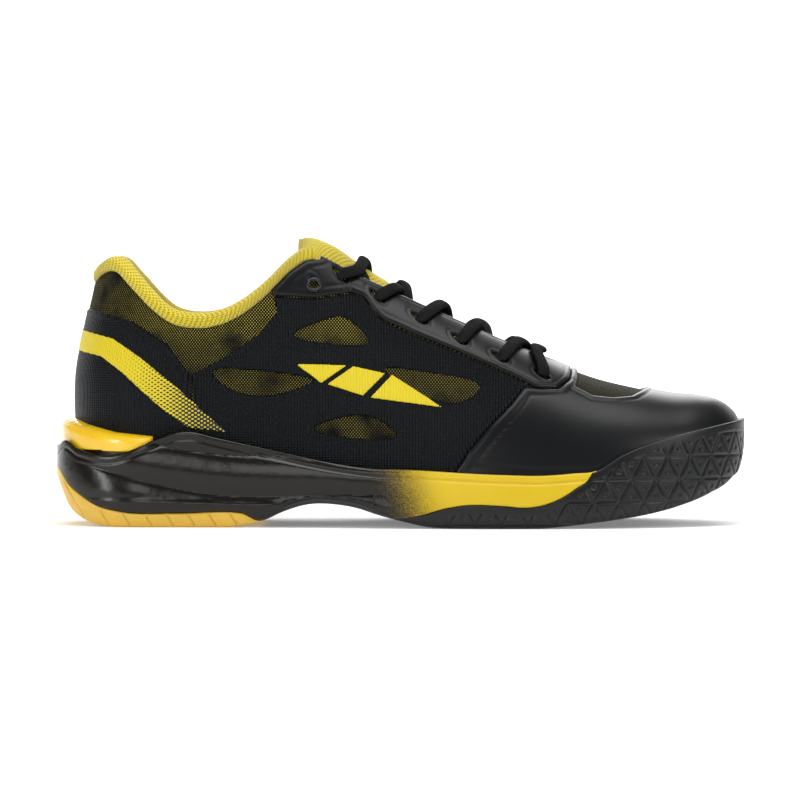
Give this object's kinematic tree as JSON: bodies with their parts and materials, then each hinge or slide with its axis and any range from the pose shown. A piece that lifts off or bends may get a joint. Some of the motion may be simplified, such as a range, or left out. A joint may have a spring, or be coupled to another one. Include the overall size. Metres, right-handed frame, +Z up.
{
  "type": "court shoe",
  "caption": "Laced low-cut indoor court shoe for racket sports, with a padded collar, moulded toe cap, gum heel sole and tucked lace.",
  "frame": {"origin": "middle of the bounding box in plan, on the surface the shoe stands on", "axes": "+X towards the toe, +Y towards the inner side of the foot (right shoe), +Z up"},
  "size_m": [0.2918, 0.1102, 0.1232],
  "materials": {
    "rubber_black": "matt moulded rubber",
    "rubber_amber": "translucent amber gum rubber",
    "foam_sole": "glossy moulded foam fading to golden yellow in front",
    "plate": "satin",
    "clip": "glossy amber moulding",
    "board": "non-woven board",
    "insole_foam": "soft foam",
    "insole_cloth": "knit cloth",
    "mesh": "open woven mesh with yellow threads",
    "stiffener": "thermoformed sheet",
    "lining_cloth": "brushed cloth",
    "synthetic": "satin synthetic leather",
    "film": "thin ribbed film with a blue-grey sheen",
    "print": "yellow print",
    "foam": "padding foam",
    "knit": "yellow spacer knit",
    "lace": "ribbed oval braid",
    "aglet": "sheath",
    "ring": "dark satin ring"
  },
  "bodies": {
    "shoe": {"outsole_heel": "rubber_amber", "outsole_forefoot": "rubber_black", "shank_plate": "plate", "midsole": "foam_sole", "heel_clip": "clip", "strobel_board": "board", "upper_mesh": "mesh", "heel_counter": "stiffener", "toe_puff": "stiffener", "lining": "lining_cloth", "eyestay_lateral": "synthetic", "eyestay_medial": "synthetic", "eyelet_backer_lateral": "stiffener", "eyelet_backer_medial": "stiffener", "quarter_film_lateral": "film", "quarter_film_medial": "film", "heel_film": "film", "heel_band_1": "print", "heel_band_2": "print", "toe_cap": "synthetic", "collar_foam": "foam", "collar_lining": "knit", "shoelace": "lace", "aglet_lateral": "aglet", "aglet_medial": "aglet", "eyelet_ring_lateral": "ring", "eyelet_ring_medial": "ring", "emblem_lateral_1": "print", "emblem_lateral_2": "print", "emblem_lateral_3": "print", "emblem_medial_1": "print", "emblem_medial_2": "print", "emblem_medial_3": "print"},
    "tongue": {"tongue_face": "knit", "tongue_foam": "foam", "tongue_lining": "knit"},
    "insole": {"insole_foam": "insole_foam", "insole_cover": "insole_cloth"}
  },
  "joints": [
    {"name": "tongue_fold", "type": "hinge", "parent": "shoe", "child": "tongue", "pos_m": [0.0687, 0.0005, 0.056], "axis": [0, 1, 0], "range_deg": [-12, 0]},
    {"name": "insole_lift", "type": "hinge", "parent": "shoe", "child": "insole", "pos_m": [0.1327, 0.0005, 0.03], "axis": [0, 1, 0], "range_deg": [0, 3]}
  ]
}
